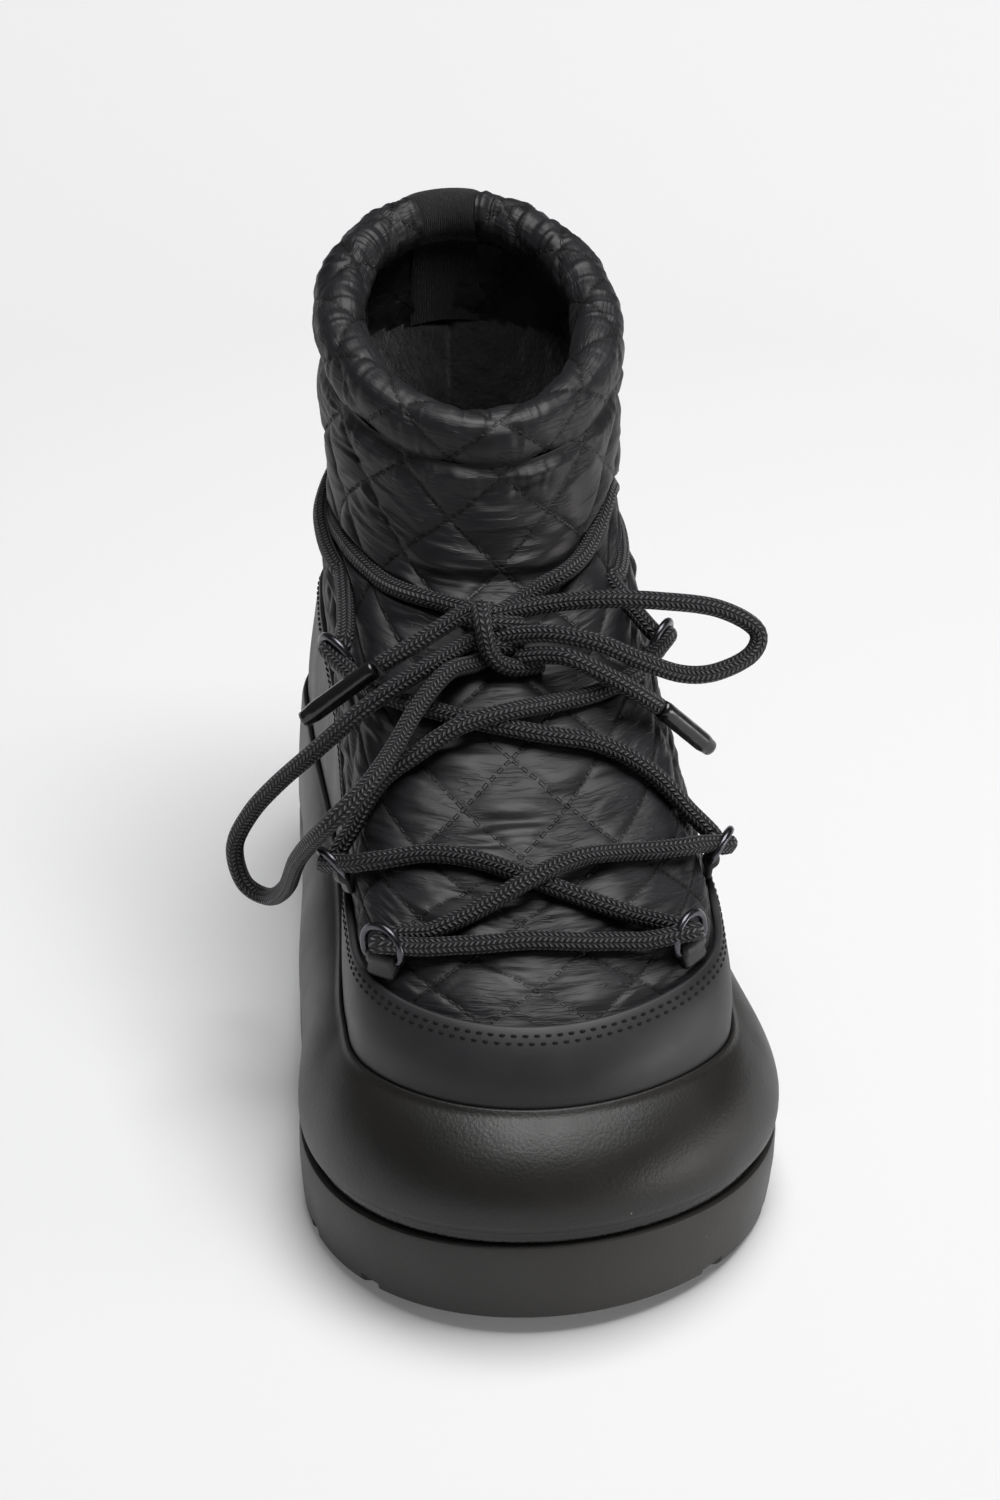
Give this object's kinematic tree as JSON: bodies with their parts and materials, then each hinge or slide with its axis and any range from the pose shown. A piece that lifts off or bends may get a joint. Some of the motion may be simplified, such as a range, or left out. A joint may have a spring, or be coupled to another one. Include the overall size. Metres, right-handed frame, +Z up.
{
  "type": "apres ski boot",
  "caption": "Quilted ankle boot with a cupped platform sole, rubber outsole, rand and a round lace run through rings and tied in a bow.",
  "frame": {"origin": "on the floor under the middle of the sole's outline", "axes": "+Z up, +Y from the toe to the heel along the sole, +X towards the boot's outer side"},
  "size_m": [0.1496, 0.29, 0.2077],
  "materials": {
    "outsole_rubber": "satin black moulded rubber",
    "midsole_foam": "satin black moulded foam with a fine pebbled skin",
    "insole_fleece": "black fleece on a foam footbed",
    "upper_quilt": "black quilted nylon with a soft sheen",
    "coated_leather": "matte black coated leather",
    "collar_quilt": "black padded nylon",
    "strip_fleece": "matte black fleece strip",
    "ring_metal": "dark gunmetal plating",
    "lace_braid": "black round braided cord",
    "aglet_plastic": "bare black plastic sleeve"
  },
  "bodies": {
    "root": {"outsole": "outsole_rubber", "midsole": "midsole_foam", "insole": "insole_fleece", "upper": "upper_quilt", "rand": "coated_leather", "collar_roll": "collar_quilt", "back_strip": "strip_fleece", "ring_toe_outer": "ring_metal", "ring_toe_inner": "ring_metal", "ring_vamp_outer": "ring_metal", "ring_vamp_inner": "ring_metal", "ring_ankle_outer": "ring_metal", "ring_ankle_inner": "ring_metal", "tab_toe_outer": "coated_leather", "tab_toe_inner": "coated_leather", "tab_vamp_outer": "coated_leather", "tab_vamp_inner": "coated_leather", "tab_ankle_outer": "coated_leather", "tab_ankle_inner": "coated_leather", "lace_front_bar": "lace_braid", "lace_low_crossing": "lace_braid", "lace_high_crossing": "lace_braid", "lace_ankle_wraps": "lace_braid", "lace_knot": "lace_braid", "lace_loop_outer": "lace_braid", "lace_loop_inner": "lace_braid", "lace_end_outer": "lace_braid", "lace_end_inner": "lace_braid", "aglet_outer": "aglet_plastic", "aglet_inner": "aglet_plastic"}
  },
  "joints": []
}
